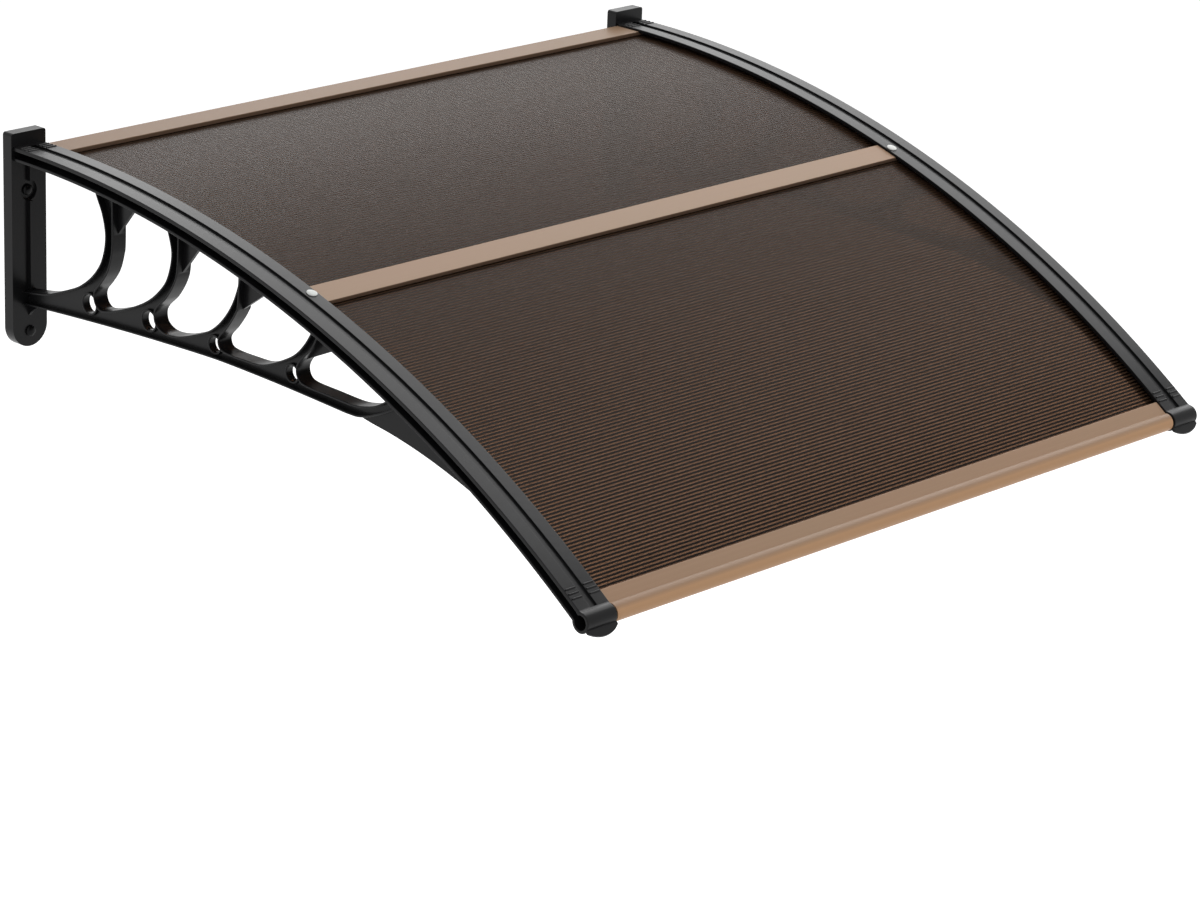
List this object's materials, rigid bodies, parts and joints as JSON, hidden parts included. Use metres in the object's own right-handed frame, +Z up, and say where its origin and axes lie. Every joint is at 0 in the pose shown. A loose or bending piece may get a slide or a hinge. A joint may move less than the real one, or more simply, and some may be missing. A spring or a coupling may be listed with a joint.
{
  "type": "door canopy",
  "caption": "Arched wall canopy for a door: moulded side brackets with scrollwork hold twin-wall plastic sheets between slotted bars.",
  "frame": {"origin": "On the wall plane, half way between the brackets, at the height of the middle of the sheet slot where the arc starts.", "axes": "+X along the canopy's width, to the right seen from the front; -Y out from the wall; +Z up."},
  "size_m": [1.257, 1.1504, 0.407],
  "materials": {
    "bracket": "black moulded plastic, semi-gloss",
    "sheet": "clear bronze-brown twin-wall sheet",
    "bar": "satin bronze-brown paint",
    "bar_screw": "white, satin",
    "screw_cap": "black moulded plastic"
  },
  "bodies": {
    "root": {"left_bracket": "bracket", "right_bracket": "bracket", "rear_sheet": "sheet", "front_sheet": "sheet", "rear_bar": "bar", "middle_bar": "bar", "front_bar": "bar", "left_bar_screw": "bar_screw", "right_bar_screw": "bar_screw", "left_upper_screw_cap": "screw_cap", "left_lower_screw_cap": "screw_cap", "right_upper_screw_cap": "screw_cap", "right_lower_screw_cap": "screw_cap"}
  },
  "joints": []
}
